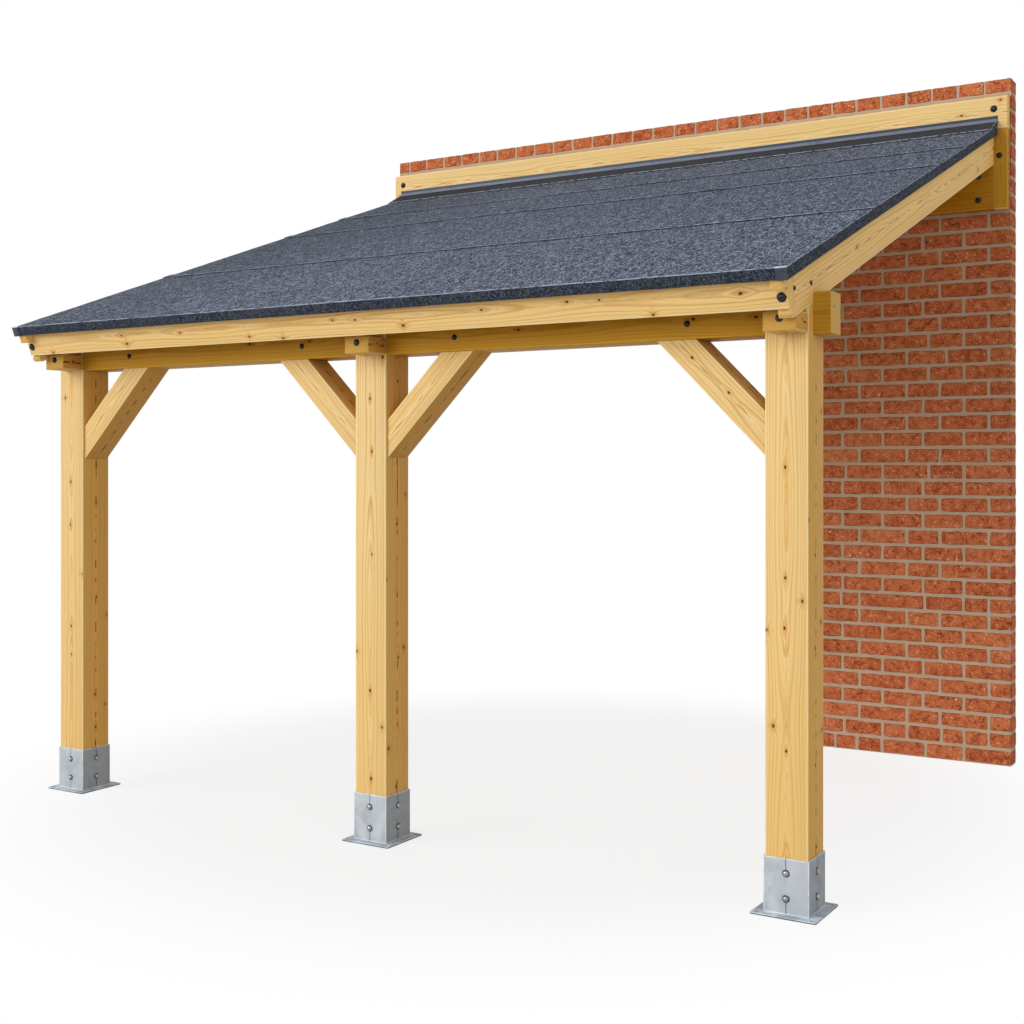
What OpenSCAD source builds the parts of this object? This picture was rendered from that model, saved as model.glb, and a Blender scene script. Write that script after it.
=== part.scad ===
// Lean-to gazebo: three shod posts, a front beam with knee braces, rafters rising to a
// timber frame on a free-standing brick wall, and a boarded roof laid with mineral felt.
// X runs along the front, Y runs from the eaves to the wall, Z is up.
// The origin is on the ground under the middle of the whole structure.

/* [Overall] */
// Width over the outer faces of the outer posts
frame_w = 3600; // [3000:50:4400]
// Distance from the front of the posts to the face of the wall
reach = 2700; // [2200:50:3300]
// Headroom under the front beam
clear_h = 1920; // [1800:10:2400]
// Slope of the roof in degrees
pitch = 20; // [16:1:25]

/* [Posts and beam] */
// Side of a square post
post_s = 150; // [120:5:180]
// Thickness of the front tongue that laps the beam
tongue_t = 50; // [40:1:60]
// Height of the front beam
beam_h = 140; // [120:5:180]
// Length of beam that runs on past each outer post
beam_end = 60; // [20:5:120]

/* [Knee braces] */
// Leg of a brace along the post and along the beam
brace_leg = 405; // [320:5:500]
// Width of a brace across its face
brace_w = 105; // [80:5:130]
// Setback of a brace from the front and back of the post
brace_set = 10; // [5:1:20]

/* [Corbel blocks] */
// Width of a corbel block
corbel_w = 115; // [90:5:115]
// How far a corbel block stands out from the post
corbel_out = 110; // [80:5:115]
// Gap between the front of a corbel block and the fascia above it
corbel_gap = 15; // [3:1:20]

/* [Post shoes] */
// Height of the steel shoe over the ground
shoe_h = 190; // [150:5:260]
// Thickness of the shoe's sheet steel
shoe_t = 4; // [3:0.5:6]
// Thickness of the base plate
plate_t = 6; // [5:1:10]
// Width of the base plate's flange outside the sleeve
plate_lip = 35; // [30:1:50]
// Corner radius of the base plate
plate_r = 6; // [2:1:12]
// Diameter of an anchor hole
anchor_d = 12; // [8:1:14]
// Distance from an anchor hole's centre to both plate edges
anchor_in = 18; // [14:1:20]
// Distance from a shoe bolt to the near end of the sleeve
shoe_bolt_in = 50; // [35:1:65]
// Width of the slits in the sleeve
slit_w = 2.5; // [1.5:0.5:4]

/* [Rafters and fascia] */
// Thickness of a rafter
rafter_w = 45; // [38:1:60]
// Depth of a rafter across the slope
rafter_d = 145; // [135:5:175]
// Rafters in each bay, between those over the posts
bay_rafters = 2; // [1:1:3]
// Thickness of the fascia
fascia_t = 50; // [35:1:60]
// Depth of the fascia across the slope
fascia_d = 112; // [95:1:120]
// Distance of the fascia's face behind the eaves edge of the roof
fascia_set = 40; // [34:1:60]
// Depth of the rafter nose that passes through the fascia's corner
nose_d = 45; // [36:1:60]
// Gap between a rafter nose and the turned-down felt
nose_gap = 4; // [2:1:8]
// Length of the nose's full-depth beak
beak_l = 12; // [8:1:16]
// How far the lip under the fascia stops behind the fascia's face
lip_back = 5; // [0:1:15]

/* [Roof covering] */
// Horizontal distance from the front of the posts to the eaves edge
eave_over = 250; // [215:1:300]
// Distance from a post's outer face to the verge of the roof
verge_over = 20; // [20:1:50]
// Thickness of the roof boards
deck_t = 28; // [18:1:32]
// Thickness of one layer of felt
felt_t = 4; // [3:0.5:6]
// Depth of the felt turned down over the edges of the boards
felt_drop = 42; // [36:1:60]
// Overlap of one felt sheet on the sheet below it
felt_lap = 60; // [50:5:120]
// Width that shows of each of the two full sheets
sheet_show = 955; // [700:5:980]
// Horizontal width of the felt fillet against the wall
fillet_w = 140; // [80:5:150]
// Extra slope of the felt fillet in degrees
fillet_rise = 8; // [4:1:15]
// Height of the metal flashing on the top rail
flash_h = 22; // [15:1:40]
// Length of the flashing's skirt on the felt fillet
flash_skirt = 30; // [15:1:50]
// Thickness of flashing and corner caps
metal_t = 1.5; // [1:0.5:2.5]
// Width of a corner cap along the eaves
cap_w = 38; // [25:1:60]
// Length of a corner cap on top of the felt
cap_top = 10; // [6:1:30]

/* [Wall and wall frame] */
// Thickness of the brick wall
wall_t = 115; // [100:5:240]
// Width of the wall that runs on past each outer post
wall_side = 75; // [70:5:150]
// Height of brickwork above the top rail
wall_over = 98; // [40:1:200]
// Depth of the wall head below the lower ledger
head_under = 87; // [40:1:150]
// Width of the full-height pier at the right of the wall
pier_w = 1125; // [900:5:1300]
// Thickness of the rail, ledgers and end boards
board_t = 50; // [35:1:60]
// Width of an end board
end_board_w = 65; // [50:1:70]
// Height of the upper ledger
upper_h = 140; // [100:5:160]
// Height of the lower ledger
lower_h = 95; // [60:5:120]
// Height of the top rail that shows above the flashing
rail_show = 97; // [60:1:150]
// Gap between the rafters' heads and the top rail
rail_gap = 3; // [1:1:10]
// Clearance between a shoe and its post
shoe_gap = 0.3; // [0.2:0.1:1]

/* [Hidden] */

far = 9000;

// Places across the front
half_w = frame_w / 2;
post_x = [-half_w + post_s / 2, 0, half_w - post_s / 2];
verge_x = half_w + verge_over;
wall_x = half_w + wall_side;

// Places from front to back
cap_proud = metal_t * (cos(pitch) + sin(pitch));
depth = cap_proud + eave_over + reach + wall_t;
eave_y = -depth / 2 + cap_proud;
post_y = eave_y + eave_over;
wall_y = post_y + reach;
frame_y = wall_y - board_t;

// Heights, set by the rafters' seat on the rear arris of the beam
slope = tan(pitch);
beam_top = clear_h + beam_h;
build_up = rafter_d + deck_t + felt_t;
function under(y) = beam_top + (y - post_y - post_s) * slope;
function felt_top(y) = under(y) + build_up / cos(pitch);
eave_z = felt_top(eave_y);

// Levels across the slope, down from the top of the felt
deck_under = felt_t + deck_t;
fascia_under = deck_under + fascia_d;
fascia_back = fascia_set + fascia_t;
nose_front = felt_t + nose_gap;
lip_h = build_up - fascia_under;

// Wall frame
ledger_top = under(wall_y);
lower_top = ledger_top - upper_h;
frame_bottom = lower_top - lower_h;
rail_bottom = felt_top(wall_y) - deck_under / cos(pitch) + rail_gap;
fillet_y = frame_y - fillet_w;
fillet_slope = tan(pitch + fillet_rise);
toe_z = felt_top(fillet_y) + felt_t / cos(pitch);
fillet_top = toe_z + fillet_w * fillet_slope;
rail_top = fillet_top + flash_h + rail_show;
wall_h = rail_top + wall_over;
head_bottom = frame_bottom - head_under;

// Lower edges of the felt sheets up the slope: two full sheets, the rest halved
fillet_at = (fillet_y - eave_y) / cos(pitch);
lap_1 = sheet_show;
lap_2 = lap_1 + sheet_show;
lap_3 = (lap_2 + fillet_at) / 2;

// Top of the corbel blocks, under the fascia
corbel_y = post_y - corbel_out;
corbel_top = felt_top(corbel_y) - fascia_under / cos(pitch) - corbel_gap;

// Post shoes
sleeve_s = post_s + 2 * (shoe_gap + shoe_t);
plate_s = sleeve_s + 2 * plate_lip;
anchor_at = plate_s / 2 - anchor_in;

wood = "burlywood";
brick = "indianred";
steel = "silver";
felt = "dimgray";

// Box between two opposite corners
module block(low, high) {
    translate(low)
        cube(high - low);
}

// Upright outline, drawn as [y, z] points, extruded from x_low to x_high
module slice(x_low, x_high) {
    translate([x_low, 0, 0])
        rotate([90, 0, 90])
            linear_extrude(x_high - x_low)
                children();
}

// Frame of the roof: Y runs up the slope from the eaves edge, Z stands on the felt
module on_slope() {
    translate([0, eave_y, eave_z])
        rotate([pitch, 0, 0])
            children();
}

// Box on the slope from y_low to y_high and from z_low to z_high
module slope_block(x_low, x_high, y_low, y_high, z_low, z_high) {
    on_slope()
        block([x_low, y_low, z_low], [x_high, y_high, z_high]);
}

// Everything behind the plane y_cut
module behind(y_cut) {
    block([-far, y_cut, -far], [far, far, far]);
}

// ---- Brick wall ----

module wall_pier() {
    color(brick)
        block([wall_x - pier_w, wall_y, 0], [wall_x, wall_y + wall_t, head_bottom]);
}

module wall_head() {
    color(brick)
        block([-wall_x, wall_y, head_bottom], [wall_x, wall_y + wall_t, wall_h]);
}

// ---- Timber frame on the wall ----

module top_rail() {
    color(wood)
        block([-half_w - end_board_w, frame_y, rail_bottom], [half_w + end_board_w, wall_y, rail_top]);
}

// End board outside the rafter on one side, side = -1 or 1
module end_board(side) {
    color(wood)
        translate([side * (half_w + end_board_w / 2), 0, 0])
            block([-end_board_w / 2, frame_y, frame_bottom], [end_board_w / 2, wall_y, rail_bottom]);
}

module end_board_left() {
    end_board(-1);
}

module end_board_right() {
    end_board(1);
}

module ledger_upper() {
    color(wood)
        block([-half_w, frame_y, lower_top], [half_w, wall_y, ledger_top]);
}

module ledger_lower() {
    color(wood)
        block([-half_w, frame_y, frame_bottom], [half_w, wall_y, lower_top]);
}

// ---- Rafters ----

// Side outline of a rafter in the frame of the roof, from y_low to past the wall
module rafter_strip(y_low) {
    translate([y_low, -build_up])
        square([far / 2, rafter_d]);
}

// Lip that carries the fascia: a strip below it with a round end
module lip_outline() {
    lip_r = lip_h / 2;
    lip_y = fascia_set + lip_back + lip_r;
    translate([lip_y, -build_up + lip_r])
        circle(r = lip_r, $fn = 48);
    translate([lip_y, -build_up])
        square([fascia_back - lip_y + 1, lip_h]);
}

// Nose that passes through the fascia, hollowed below into a beak
module nose_outline() {
    cove_l = fascia_set - nose_front - beak_l;
    difference() {
        translate([nose_front, -deck_under - nose_d])
            square([fascia_back - nose_front + 1, nose_d]);
        translate([fascia_set - cove_l / 2, -deck_under - nose_d])
            circle(d = cove_l, $fn = 48);
    }
}

// Cuts for the beam, from heel_y to its back, and for the ledger at the wall
module rafter_cuts(x, heel_y) {
    block([x - rafter_w, heel_y, 0], [x + rafter_w, post_y + post_s, beam_top]);
    block([x - rafter_w, frame_y, 0], [x + rafter_w, wall_y, ledger_top]);
    behind(wall_y);
}

// Outer rafter with a shaped tail, centred on x
module outer_rafter(x) {
    color(wood)
        difference() {
            on_slope()
                slice(x - rafter_w / 2, x + rafter_w / 2)
                    union() {
                        rafter_strip(fascia_back);
                        lip_outline();
                        nose_outline();
                    }
            rafter_cuts(x, post_y + tongue_t);
        }
}

// Inner rafter, cut square behind the fascia and level below it, centred on x
module inner_rafter(x, heel_y) {
    soffit_z = eave_z + fascia_back * sin(pitch) - fascia_under * cos(pitch);
    difference() {
        on_slope()
            slice(x - rafter_w / 2, x + rafter_w / 2)
                rafter_strip(fascia_back);
        rafter_cuts(x, heel_y);
        block([x - rafter_w, -far, 0], [x + rafter_w, post_y, soffit_z]);
    }
}

// Rafters inside the bay on one side, side = -1 or 1
module bay_rafters(side) {
    outer_x = half_w - rafter_w / 2;
    color(wood)
        for (i = [1 : bay_rafters])
            inner_rafter(side * outer_x * i / (bay_rafters + 1), post_y);
}

module rafter_left() {
    outer_rafter(-half_w + rafter_w / 2);
}

module rafter_right() {
    outer_rafter(half_w - rafter_w / 2);
}

module rafter_centre() {
    color(wood)
        inner_rafter(0, post_y + tongue_t);
}

module rafters_left_bay() {
    bay_rafters(-1);
}

module rafters_right_bay() {
    bay_rafters(1);
}

// ---- Fascia and front beam ----

module fascia() {
    color(wood)
        difference() {
            slope_block(-half_w, half_w, fascia_set, fascia_back, -fascia_under, -deck_under);
            for (side = [-1, 1])
                translate([side * half_w, 0, 0])
                    slope_block(-rafter_w, rafter_w, 0, fascia_back + 1,
                        -deck_under - nose_d, 0);
        }
}

module front_beam() {
    beam_x = half_w + beam_end;
    inner_x = half_w - post_s;
    color(wood)
        difference() {
            block([-beam_x, post_y, clear_h], [beam_x, post_y + post_s, beam_top]);
            block([-post_s / 2, post_y - 1, 0], [post_s / 2, post_y + tongue_t, far]);
            block([inner_x, post_y - 1, 0], [far, post_y + tongue_t, far]);
            block([-far, post_y - 1, 0], [-inner_x, post_y + tongue_t, far]);
        }
}

// ---- Posts and shoes ----

// Post with a shoulder for the beam and a tongue up to the rafters' underside
module post(x) {
    color(wood)
        slice(x - post_s / 2, x + post_s / 2)
            polygon([
                [post_y, plate_t],
                [post_y + post_s, plate_t],
                [post_y + post_s, clear_h],
                [post_y + tongue_t, clear_h],
                [post_y + tongue_t, under(post_y + tongue_t)],
                [post_y, under(post_y)]
            ]);
}

module post_left() {
    post(post_x[0]);
}

module post_centre() {
    post(post_x[1]);
}

module post_right() {
    post(post_x[2]);
}

// Square plate with round corners
module plate_outline() {
    flat = plate_s / 2 - plate_r;
    square([plate_s, 2 * flat], center = true);
    square([2 * flat, plate_s], center = true);
    for (sx = [-1, 1], sy = [-1, 1])
        translate([sx * flat, sy * flat])
            circle(r = plate_r, $fn = 48);
}

// Slits down the middle of the four faces: top edge to bolt, and bolt to plate
module shoe_slits() {
    top_bolt = shoe_h - shoe_bolt_in;
    low_bolt = plate_t + shoe_bolt_in;
    for (turn = [0, 90])
        rotate([0, 0, turn]) {
            block([-slit_w / 2, -sleeve_s, top_bolt], [slit_w / 2, sleeve_s, shoe_h + 1]);
            block([-slit_w / 2, -sleeve_s, plate_t], [slit_w / 2, sleeve_s, low_bolt]);
        }
}

// Welded steel shoe: a square sleeve on a drilled base plate
module shoe(x) {
    bore_s = post_s + 2 * shoe_gap;
    color(steel)
        translate([x, post_y + post_s / 2, 0]) {
            difference() {
                union() {
                    linear_extrude(plate_t)
                        plate_outline();
                    linear_extrude(shoe_h)
                        square(sleeve_s, center = true);
                }
                translate([0, 0, plate_t])
                    linear_extrude(shoe_h)
                        square(bore_s, center = true);
                for (sx = [-1, 1], sy = [-1, 1])
                    translate([sx * anchor_at, sy * anchor_at, -1])
                        cylinder(h = plate_t + 2, d = anchor_d, $fn = 32);
                shoe_slits();
            }
        }
}

module shoe_left() {
    shoe(post_x[0]);
}

module shoe_centre() {
    shoe(post_x[1]);
}

module shoe_right() {
    shoe(post_x[2]);
}

// ---- Knee braces ----

// Brace on the side of the post centred on x, side = -1 or 1
module brace(x, side) {
    inner_leg = brace_leg - brace_w * sqrt(2);
    face_x = post_s / 2;
    color(wood)
        translate([x, post_y + post_s - brace_set, clear_h])
            rotate([90, 0, 0])
                linear_extrude(post_s - 2 * brace_set)
                    polygon([
                        [side * face_x, -inner_leg],
                        [side * (face_x + inner_leg), 0],
                        [side * (face_x + brace_leg), 0],
                        [side * face_x, -brace_leg]
                    ]);
}

module brace_left() {
    brace(post_x[0], 1);
}

module brace_centre_left() {
    brace(post_x[1], -1);
}

module brace_centre_right() {
    brace(post_x[1], 1);
}

module brace_right() {
    brace(post_x[2], -1);
}

// ---- Corbel blocks ----

// Block flush with the right side of the post centred on x, trenched below the outer rafters
module corbel(x) {
    right_x = x + post_s / 2;
    color(wood)
        difference() {
            block([right_x - corbel_w, corbel_y, clear_h], [right_x, post_y, corbel_top]);
            for (side = [-1, 1])
                translate([side * (half_w - rafter_w / 2), 0, 0])
                    slope_block(-rafter_w / 2, rafter_w / 2, 0, far, -build_up, 0);
        }
}

module corbel_left() {
    corbel(post_x[0]);
}

module corbel_centre() {
    corbel(post_x[1]);
}

module corbel_right() {
    corbel(post_x[2]);
}

// ---- Roof ----

module roof_deck() {
    color(wood)
        difference() {
            slope_block(-verge_x + felt_t, verge_x - felt_t, felt_t, far / 2, -deck_under, -felt_t);
            behind(frame_y);
        }
}

// Felt sheet turned down at both verges: its side outline, hollowed below from y_hollow up
module folded_felt(y_hollow) {
    difference() {
        on_slope()
            slice(-verge_x, verge_x)
                children();
        slope_block(-verge_x + felt_t, verge_x - felt_t, y_hollow, far,
            -felt_drop - 1, -felt_t);
    }
}

// Felt sheet with its lower edge lapped over the sheet below
module lapped_sheet(y_low, y_high) {
    y_bed = y_low + felt_lap;
    folded_felt(y_bed - 1)
        polygon([
            [y_low, 0],
            [y_low, felt_t],
            [y_bed + felt_t, felt_t],
            [y_bed + felt_t, 0],
            [y_high, 0],
            [y_high, -felt_drop],
            [y_bed, -felt_drop],
            [y_bed, 0]
        ]);
}

// Lowest felt sheet, turned down over the eaves as well
module felt_sheet_1() {
    color(felt)
        folded_felt(felt_t)
            translate([0, -felt_drop])
                square([lap_1 + felt_lap, felt_drop]);
}

module felt_sheet_2() {
    color(felt)
        lapped_sheet(lap_1, lap_2 + felt_lap);
}

module felt_sheet_3() {
    color(felt)
        lapped_sheet(lap_2, lap_3 + felt_lap);
}

module felt_sheet_4() {
    color(felt)
        difference() {
            lapped_sheet(lap_3, far / 2);
            behind(frame_y);
        }
}

// Sloping fillet of felt against the top rail
module felt_fillet() {
    color(felt)
        slice(-verge_x, verge_x)
            polygon([
                [fillet_y, felt_top(fillet_y)],
                [frame_y, felt_top(frame_y)],
                [frame_y, fillet_top],
                [fillet_y, toe_z]
            ]);
}

// Folded metal strip on the rail and the top of the fillet
module flashing() {
    skirt_y = flash_skirt * cos(pitch + fillet_rise);
    skirt_z = flash_skirt * sin(pitch + fillet_rise);
    lift = metal_t / cos(pitch + fillet_rise);
    color("slategray")
        slice(-verge_x, verge_x)
            polygon([
                [frame_y, fillet_top],
                [frame_y, fillet_top + flash_h],
                [frame_y - metal_t, fillet_top + flash_h],
                [frame_y - metal_t, fillet_top + lift - metal_t * fillet_slope],
                [frame_y - skirt_y, fillet_top + lift - skirt_z],
                [frame_y - skirt_y, fillet_top - skirt_z]
            ]);
}

// Metal cap folded over the eaves edge at one corner, side = -1 or 1
module corner_cap(side) {
    color("slategray")
        translate([side * (verge_x - cap_w / 2), 0, 0])
            on_slope()
                slice(-cap_w / 2, cap_w / 2)
                    polygon([
                        [-metal_t, -felt_drop],
                        [-metal_t, metal_t],
                        [cap_top, metal_t],
                        [cap_top, 0],
                        [0, 0],
                        [0, -felt_drop]
                    ]);
}

module corner_cap_left() {
    corner_cap(-1);
}

module corner_cap_right() {
    corner_cap(1);
}

wall_pier();
wall_head();
top_rail();
end_board_left();
end_board_right();
ledger_upper();
ledger_lower();
rafter_left();
rafter_right();
rafter_centre();
rafters_left_bay();
rafters_right_bay();
fascia();
front_beam();
post_left();
post_centre();
post_right();
shoe_left();
shoe_centre();
shoe_right();
brace_left();
brace_centre_left();
brace_centre_right();
brace_right();
corbel_left();
corbel_centre();
corbel_right();
roof_deck();
felt_sheet_1();
felt_sheet_2();
felt_sheet_3();
felt_sheet_4();
felt_fillet();
flashing();
corner_cap_left();
corner_cap_right();
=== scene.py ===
import math
import random

import bmesh
import bpy
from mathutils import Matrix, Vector, noise

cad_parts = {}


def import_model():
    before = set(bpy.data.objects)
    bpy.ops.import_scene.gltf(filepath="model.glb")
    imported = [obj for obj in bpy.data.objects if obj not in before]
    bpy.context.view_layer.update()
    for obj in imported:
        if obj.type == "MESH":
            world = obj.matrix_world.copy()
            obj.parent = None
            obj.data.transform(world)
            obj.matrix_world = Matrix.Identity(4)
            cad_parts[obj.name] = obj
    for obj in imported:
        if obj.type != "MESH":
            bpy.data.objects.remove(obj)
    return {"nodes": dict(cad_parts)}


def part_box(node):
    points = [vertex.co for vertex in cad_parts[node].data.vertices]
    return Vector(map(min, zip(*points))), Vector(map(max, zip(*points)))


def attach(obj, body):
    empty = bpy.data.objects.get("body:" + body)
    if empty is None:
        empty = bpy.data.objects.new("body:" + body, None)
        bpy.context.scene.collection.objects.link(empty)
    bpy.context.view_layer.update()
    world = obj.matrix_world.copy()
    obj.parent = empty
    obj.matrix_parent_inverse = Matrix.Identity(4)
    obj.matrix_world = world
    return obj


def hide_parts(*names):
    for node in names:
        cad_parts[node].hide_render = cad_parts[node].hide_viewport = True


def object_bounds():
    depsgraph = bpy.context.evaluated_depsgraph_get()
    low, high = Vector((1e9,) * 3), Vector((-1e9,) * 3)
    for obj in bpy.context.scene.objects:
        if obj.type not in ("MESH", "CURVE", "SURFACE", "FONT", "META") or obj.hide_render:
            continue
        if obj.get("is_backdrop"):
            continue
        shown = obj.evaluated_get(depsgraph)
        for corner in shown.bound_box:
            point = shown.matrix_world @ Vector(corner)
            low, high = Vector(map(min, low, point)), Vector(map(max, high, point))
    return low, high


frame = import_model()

CAD_LOW, CAD_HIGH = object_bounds()
POSTS = ("left", "centre", "right")
PITCH = math.radians(20)
UP_SLOPE = Vector((0, math.cos(PITCH), math.sin(PITCH)))
OFF_SLOPE = Vector((0, -math.sin(PITCH), math.cos(PITCH)))
X, Y, Z = Vector((1, 0, 0)), Vector((0, 1, 0)), Vector((0, 0, 1))


# ---- Colours and node trees ----

def srgb(r, g, b):
    """Linear colour of an sRGB one given as 0 to 255"""
    def one(c):
        c /= 255
        return c / 12.92 if c <= 0.04045 else ((c + 0.055) / 1.055) ** 2.4
    return one(r), one(g), one(b), 1.0


class Val:
    """An output in a node tree, with arithmetic"""

    def __init__(self, shader, socket):
        self.shader, self.socket = shader, socket

    def __add__(self, other):
        return self.shader.math("ADD", self, other)

    def __sub__(self, other):
        return self.shader.math("SUBTRACT", self, other)

    def __mul__(self, other):
        return self.shader.math("MULTIPLY", self, other)

    def __truediv__(self, other):
        return self.shader.math("DIVIDE", self, other)

    __radd__, __rmul__ = __add__, __mul__

    def __rsub__(self, other):
        return self.shader.math("SUBTRACT", other, self)

    def do(self, op, other=None):
        return self.shader.math(op, self, other)


class Shader:
    """A material with one Principled shader and short calls for its nodes"""

    def __init__(self, name):
        self.mat = bpy.data.materials.new(name)
        self.mat.use_nodes = True
        self.tree = self.mat.node_tree
        self.tree.nodes.clear()
        self.out = self.add("ShaderNodeOutputMaterial")
        self.bsdf = self.add("ShaderNodeBsdfPrincipled")
        self.tree.links.new(self.bsdf.outputs[0], self.out.inputs[0])

    def add(self, kind, **props):
        node = self.tree.nodes.new(kind)
        for key, value in props.items():
            setattr(node, key, value)
        return node

    def put(self, socket, value):
        if isinstance(value, Val):
            self.tree.links.new(value.socket, socket)
        elif value is not None:
            socket.default_value = value

    def math(self, op, a, b=None):
        node = self.add("ShaderNodeMath", operation=op)
        self.put(node.inputs[0], a)
        self.put(node.inputs[1], b)
        return Val(self, node.outputs[0])

    def vector(self, op, a, b=None, scale=None):
        node = self.add("ShaderNodeVectorMath", operation=op)
        self.put(node.inputs[0], a)
        self.put(node.inputs[1], b)
        if scale is not None:
            self.put(node.inputs["Scale"], scale)
        return Val(self, node.outputs["Value" if op == "LENGTH" else "Vector"])

    def split(self, v):
        node = self.add("ShaderNodeSeparateXYZ")
        self.put(node.inputs[0], v)
        return [Val(self, o) for o in node.outputs]

    def join(self, x, y, z):
        node = self.add("ShaderNodeCombineXYZ")
        for i, value in enumerate((x, y, z)):
            self.put(node.inputs[i], value)
        return Val(self, node.outputs[0])

    def attribute(self, name):
        return Val(self, self.add("ShaderNodeAttribute", attribute_name=name).outputs["Vector"])

    def place(self):
        return Val(self, self.add("ShaderNodeTexCoord").outputs["Object"])

    def noise(self, v, scale=1.0, detail=2.0, rough=0.5, warp=0.0):
        node = self.add("ShaderNodeTexNoise")
        self.put(node.inputs["Vector"], v)
        for name, value in (("Scale", scale), ("Detail", detail), ("Roughness", rough), ("Distortion", warp)):
            self.put(node.inputs[name], value)
        return Val(self, node.outputs[0])

    def cells(self, v, scale=1.0, feature="F1", out="Distance"):
        node = self.add("ShaderNodeTexVoronoi", feature=feature)
        self.put(node.inputs["Vector"], v)
        self.put(node.inputs["Scale"], scale)
        return Val(self, node.outputs[out])

    def step(self, v, low, high, to_low=0.0, to_high=1.0):
        """Smooth step from to_low at low to to_high at high; low may be above high"""
        if low > high:
            low, high, to_low, to_high = high, low, to_high, to_low
        node = self.add("ShaderNodeMapRange", interpolation_type="SMOOTHSTEP")
        for i, value in enumerate((v, low, high, to_low, to_high)):
            self.put(node.inputs[i], value)
        return Val(self, node.outputs[0])

    def ramp(self, v, *stops):
        """Colour ramp through (position, colour) stops"""
        node = self.add("ShaderNodeValToRGB")
        ramp = node.color_ramp
        while len(ramp.elements) < len(stops):
            ramp.elements.new(0.5)
        for element, (at, colour) in zip(ramp.elements, stops):
            element.position, element.color = at, colour
        self.put(node.inputs[0], v)
        return Val(self, node.outputs[0])

    def mix(self, amount, a, b, mode="MIX"):
        node = self.add("ShaderNodeMix", data_type="RGBA", blend_type=mode, clamp_factor=True)
        self.put(node.inputs[0], amount)
        self.put(node.inputs[6], a)
        self.put(node.inputs[7], b)
        return Val(self, node.outputs[2])

    def bump(self, height, depth, strength=1.0):
        """Normal of a height from 0 to 1 that is depth metres deep"""
        node = self.add("ShaderNodeBump")
        self.put(node.inputs["Height"], height)
        self.put(node.inputs["Distance"], depth)
        self.put(node.inputs["Strength"], strength)
        return Val(self, node.outputs[0])

    def finish(self, colour=None, rough=None, normal=None, **fixed):
        self.put(self.bsdf.inputs["Base Color"], colour)
        self.put(self.bsdf.inputs["Roughness"], rough)
        self.put(self.bsdf.inputs["Normal"], normal)
        for name, value in fixed.items():
            self.bsdf.inputs[name.replace("_", " ")].default_value = value
        return self.mat


# ---- Materials ----

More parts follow.
